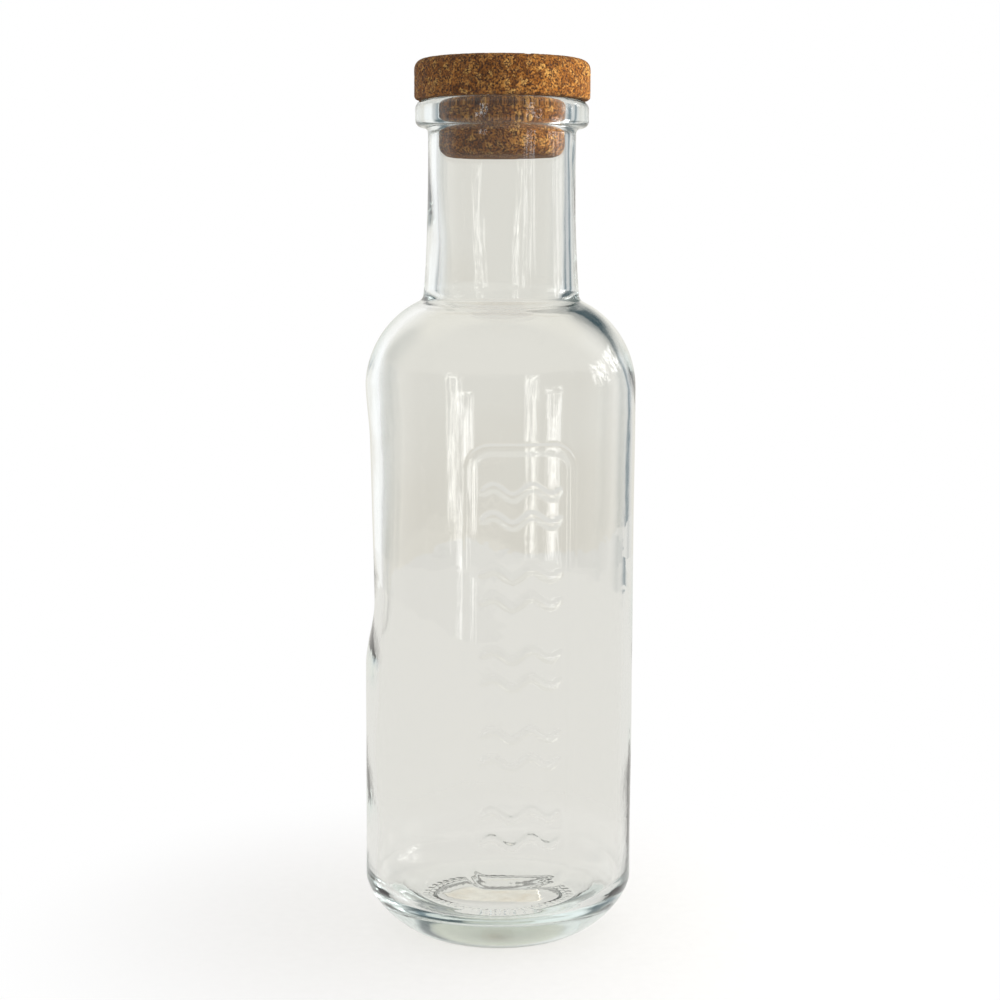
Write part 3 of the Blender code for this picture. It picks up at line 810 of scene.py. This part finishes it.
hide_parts("base_label")
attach(paper_label, "bottle")

# %% Paper material
CLEAN_PAPER, YELLOWED_PAPER = (0.96, 0.93, 0.86, 1.0), (0.84, 0.74, 0.60, 1.0)
paper, paper_tree, paper_shader = start_material("label_paper")
paper_coords = add(paper_tree, "ShaderNodeTexCoord").outputs["Object"]
paper_film = place_group(paper_tree, film, [("Vector", paper_coords), ("Patch Scale", 170.0),
                         ("Grain Scale", 2600.0), ("Cover", 0.55)])
paper_color = mix_colors(paper_tree, paper_film.outputs["Mask"], CLEAN_PAPER, YELLOWED_PAPER)
paper_tree.links.new(paper_color, paper_shader.inputs["Base Color"])
paper_shader.inputs["Roughness"].default_value = 0.82
paper_bump = add(paper_tree, "ShaderNodeBump", [("Height", paper_film.outputs["Height"]), ("Strength", 0.5),
                 ("Distance", 0.0001)])
paper_tree.links.new(paper_bump.outputs["Normal"], paper_shader.inputs["Normal"])
paper_label.data.materials.append(paper)

# %% [markdown]
# ## Floor
#
# A wide pale disc. Close to the bottle it is matte paper, which the light falls on as it does on the cork;
# further out it turns into the same white as the surroundings, so there is no horizon line. Light that has
# come through the glass sees a floor that glows evenly in a pale grey, close to the wall's, so the far edge
# of the disc doesn't draw a line across the bottle.

# %% Floor
FLOOR_SIZE, FLOOR_COLUMNS = 0.9, 96
FLOOR_TOP, FLOOR_UNDERSIDE = -0.0001, -0.0050
WHITE = (1.0, 1.0, 1.0, 1.0)
FLOOR_THROUGH_GLASS = (0.80, 0.79, 0.755, 1.0)
GLOW_THROUGH_GLASS = 0.8
MATTE_REACH, WHITE_REACH = 0.045, 0.18     # distances from the bottle's axis
floor_rings = np.array([0.0, 0.1, 0.2, 0.4, 0.6, FLOOR_SIZE])
turn = -np.linspace(0.0, 2 * math.pi, FLOOR_COLUMNS, endpoint=False)[None, :]
floor_share = np.concatenate([floor_rings, floor_rings[:-1][::-1]])[:, None]
floor_z = np.where(np.arange(len(floor_share)) < len(floor_rings), FLOOR_TOP, FLOOR_UNDERSIDE)[:, None]
floor = skin_from_grid("studio_floor", floor_share * np.cos(turn), floor_share * np.sin(turn),
                       floor_z + 0.0 * turn)

floor_paint, floor_tree, floor_shader = start_material("floor_paper")
floor_coords = add(floor_tree, "ShaderNodeTexCoord").outputs["Object"]
floor_grain = add(floor_tree, "ShaderNodeTexNoise", [("Vector", floor_coords), ("Scale", 260.0),
                  ("Detail", 3.0)])
floor_tone = remap(floor_tree, floor_grain.outputs["Fac"], low=0.86, high=0.90)
floor_tree.links.new(floor_tone, floor_shader.inputs["Base Color"])
floor_shader.inputs["Roughness"].default_value = 0.9
floor_distance = add(floor_tree, "ShaderNodeVectorMath", [(0, floor_coords)], operation="LENGTH")
floor_fade = remap(floor_tree, floor_distance.outputs["Value"], MATTE_REACH, WHITE_REACH, kind="SMOOTHSTEP")
floor_path = add(floor_tree, "ShaderNodeLightPath")
floor_white = mix_colors(floor_tree, floor_path.outputs["Is Camera Ray"], FLOOR_THROUGH_GLASS, WHITE)
floor_glow = add(floor_tree, "ShaderNodeEmission", [("Color", floor_white), ("Strength", 1.0)])
glass_glow = maths(floor_tree, "MULTIPLY", floor_path.outputs["Is Transmission Ray"], GLOW_THROUGH_GLASS)
glow_share = maths(floor_tree, "MAXIMUM", floor_fade, glass_glow)
floor_mix = add(floor_tree, "ShaderNodeMixShader", [(0, glow_share),
                (1, floor_shader.outputs[0]), (2, floor_glow.outputs[0])])
floor_tree.links.new(floor_mix.outputs[0], floor_tree.nodes["Material Output"].inputs["Surface"])
floor.data.materials.append(floor_paint)

# %% [markdown]
# ## Surroundings
#
# A clear bottle is drawn by what it bends and mirrors, so the glass gets its own surroundings: a warm light
# grey behind it, darker strips of wall to the sides that turn into thin dark lines at its edges, and four
# windows. The windows and the darker front half of the room are there only for light that was mirrored at
# least once, so that looking straight through the bottle always shows a plain wall. Matte things don't need
# any of that: the camera, the cork, the paper and the floor see plain soft white.

# %% Directions in the room
world = bpy.data.worlds.new("studio")
bpy.context.scene.world = world
world.use_nodes = True
sky = world.node_tree
sky_shader = sky.nodes["Background"]
sky_vector = add(sky, "ShaderNodeTexCoord").outputs["Generated"]
direction = add(sky, "ShaderNodeSeparateXYZ", [("Vector", sky_vector)])
azimuth = maths(sky, "ARCTAN2", direction.outputs["X"], direction.outputs["Y"])
bearing = maths(sky, "MULTIPLY", azimuth, 180.0 / math.pi)
rise = maths(sky, "ARCSINE", direction.outputs["Z"])
elevation = maths(sky, "MULTIPLY", rise, 180.0 / math.pi)
around = remap(sky, bearing, -180.0, 180.0)


def wall_band(stops):
    """A colour for each bearing, from a list of (degrees to the right of straight behind, colour)."""
    places = [((degrees + 180.0) / 360.0, shade) for degrees, shade in stops]
    band = ramp(sky, around, places)
    band.color_ramp.interpolation = "EASE"
    return band.outputs["Color"]


def over_elevation(start, end):
    """0 at the elevation start and 1 at end, in degrees, with an S-shaped ramp between."""
    return remap(sky, elevation, start, end, kind="SMOOTHSTEP")

# %% Room seen by the glass
WALL, BACKDROP, BRIGHT = (0.74, 0.73, 0.70), (0.785, 0.76, 0.695), (0.98, 0.98, 0.96)
CORNER, PALE, DUSK = (0.55, 0.56, 0.55), (0.58, 0.59, 0.58), (0.66, 0.66, 0.64)
EDGE, DARK = (0.70, 0.70, 0.68), (0.14, 0.20, 0.23)
UPPER, UPPER_SIDE, UPPER_BACK = (0.50, 0.50, 0.48), (0.55, 0.55, 0.53), (0.66, 0.64, 0.60)
UPPER_RIGHT, DEEP_LEFT, DEEP_RIGHT = (0.60, 0.60, 0.59), (0.08, 0.13, 0.15), (0.05, 0.085, 0.10)
CEILING = (0.76, 0.735, 0.63, 1.0)
EYE_LEVEL_LIFT = (1.07, 1.09, 1.12, 1.0)

low_walls = wall_band([(-180, WALL), (-126, WALL), (-112, DUSK), (-98, WALL), (-82, WALL), (-66, DARK),
                       (-52, CORNER), (-42, BRIGHT), (-28, BRIGHT), (-14, BACKDROP), (20, BACKDROP),
                       (29, EDGE), (36, DARK), (42, PALE), (47, PALE), (53, DARK), (66, WALL), (98, WALL),
                       (112, DUSK), (126, WALL), (180, WALL)])
high_walls = wall_band([(-180, UPPER), (-84, UPPER_SIDE), (-66, DEEP_LEFT), (-56, DEEP_LEFT), (-40, BRIGHT),
                        (-18, BRIGHT), (-4, UPPER_BACK), (8, UPPER), (20, DEEP_RIGHT), (40, DEEP_RIGHT),
                        (54, UPPER_RIGHT), (62, BRIGHT), (80, BRIGHT), (96, UPPER), (180, UPPER_SIDE)])
lifted_walls = mix_colors(sky, 1.0, low_walls, EYE_LEVEL_LIFT, blend_type="MULTIPLY")
eye_walls = mix_colors(sky, over_elevation(-9.0, -2.0), low_walls, lifted_walls)
walls = mix_colors(sky, over_elevation(9.0, 17.0), eye_walls, high_walls)
walls = mix_colors(sky, over_elevation(34.0, 50.0), walls, CEILING)
room = mix_colors(sky, over_elevation(-11.0, -17.0), walls, FLOOR_THROUGH_GLASS)

# %% Windows in the room
WINDOW_LIGHT = 4.6
MIRRORED_FRONT = (0.27, 0.27, 0.26, 1.0)
MATTE_LIGHT = (0.46, 0.46, 0.46, 1.0)
BLACK = (0.0, 0.0, 0.0, 1.0)
WINDOWS = ((-150.0, 8.0, -4.5, 6.5), (134.0, 9.0, -4.5, 10.5), (84.0, 13.0, 12.0, 11.0),
           (58.0, 7.0, 16.0, 9.0))    # bearing, half width, elevation, half height
leaf_noise = add(sky, "ShaderNodeTexNoise", [("Vector", sky_vector), ("Scale", 16.0), ("Detail", 4.0),
                 ("Roughness", 0.7)])
leaves = remap(sky, leaf_noise.outputs["Fac"], 0.43, 0.60, kind="SMOOTHSTEP")


def window(middle_bearing, half_width, middle_height, half_height):
    """A window in the surroundings, in degrees: the larger of the two distances from its middle, each
    divided by the window's half size, turned into a soft edge and broken up as by leaves outside."""
    scaled = []
    sides = ((bearing, middle_bearing, half_width), (elevation, middle_height, half_height))
    for source, middle, half in sides:
        away = maths(sky, "SUBTRACT", source, middle)
        size = maths(sky, "ABSOLUTE", away)
        scaled.append(maths(sky, "DIVIDE", size, half))
    larger = maths(sky, "MAXIMUM", scaled[0], scaled[1])
    edge = remap(sky, larger, 1.0, 0.60, kind="SMOOTHSTEP")
    return maths(sky, "MULTIPLY", edge, leaves)


panes = 0.0
for place in WINDOWS:
    panes = maths(sky, "ADD", panes, window(*place))
glare = mix_colors(sky, panes, BLACK, (WINDOW_LIGHT, WINDOW_LIGHT, WINDOW_LIGHT, 1.0))
to_front = maths(sky, "ABSOLUTE", bearing)
in_front = remap(sky, to_front, 70.0, 105.0)
mirrored = mix_colors(sky, in_front, room, MIRRORED_FRONT)
with_windows = mix_colors(sky, 1.0, mirrored, glare, blend_type="ADD")
ray_kind = add(sky, "ShaderNodeLightPath")
was_mirrored = maths(sky, "GREATER_THAN", ray_kind.outputs["Glossy Depth"], 0.5)
glass_sees = mix_colors(sky, was_mirrored, room, with_windows)
matte_sees = mix_colors(sky, ray_kind.outputs["Is Diffuse Ray"], glass_sees, MATTE_LIGHT)
seen = mix_colors(sky, ray_kind.outputs["Is Camera Ray"], matte_sees, WHITE)
sky.links.new(seen, sky_shader.inputs["Color"])
print("surroundings:", len(WINDOWS), "windows,", len(sky.nodes), "nodes")

# %% [markdown]
# ## Lamps
#
# Two soft lamps light what is matte. The strong one stands to the right, so that the cork's granules cast
# small shadows and its left side falls off; a weak one from the left front fills. They are kept out of the
# glass, which already has its windows.

# %% Lamps
LAMP_DISTANCE = 1.3
AIM_HEIGHT = 0.20


def softbox(name, side_angle, height, width, tall, power, warmth):
    """An area lamp at an angle in degrees to the right of the front, aimed at the shoulder."""
    data = bpy.data.lights.new(name, "AREA")
    data.shape = "RECTANGLE"
    data.size, data.size_y = width, tall
    data.energy = power
    data.color = warmth
    lamp = bpy.data.objects.new(name, data)
    side = math.radians(side_angle)
    lamp.location = (LAMP_DISTANCE * math.sin(side), -LAMP_DISTANCE * math.cos(side), height)
    aim = Vector((0.0, 0.0, AIM_HEIGHT)) - lamp.location
    lamp.rotation_euler = aim.to_track_quat("-Z", "Y").to_euler()
    lamp.visible_camera = False
    lamp.visible_transmission = False
    lamp.visible_glossy = False
    bpy.context.scene.collection.objects.link(lamp)
    print(name, "at", tuple(round(v, 2) for v in lamp.location))


softbox("lamp_right", side_angle=86.0, height=0.50, width=0.6, tall=0.6, power=36.0, warmth=(1.0, 0.98, 0.95))
softbox("lamp_left", side_angle=-50.0, height=0.80, width=0.9, tall=0.9, power=2.0, warmth=(1.0, 1.0, 1.0))

# %% [markdown]
# ## Tone and the paths of light
#
# The plain Standard view keeps white paper white. In the thick base light is mirrored inside the glass many
# times before it comes out. With the usual four mirrorings it would be given up for lost and leave black
# outlines, so the limits are raised.

# %% Tone and the paths of light
MIRRORINGS, ALL_BOUNCES = 24, 32
scene = bpy.context.scene
scene.view_settings.view_transform = "Standard"
scene.view_settings.look = "None"
scene.cycles.max_bounces = ALL_BOUNCES
scene.cycles.glossy_bounces = MIRRORINGS
scene.cycles.transmission_bounces = MIRRORINGS
print("light paths:", ALL_BOUNCES, "bounces in all")
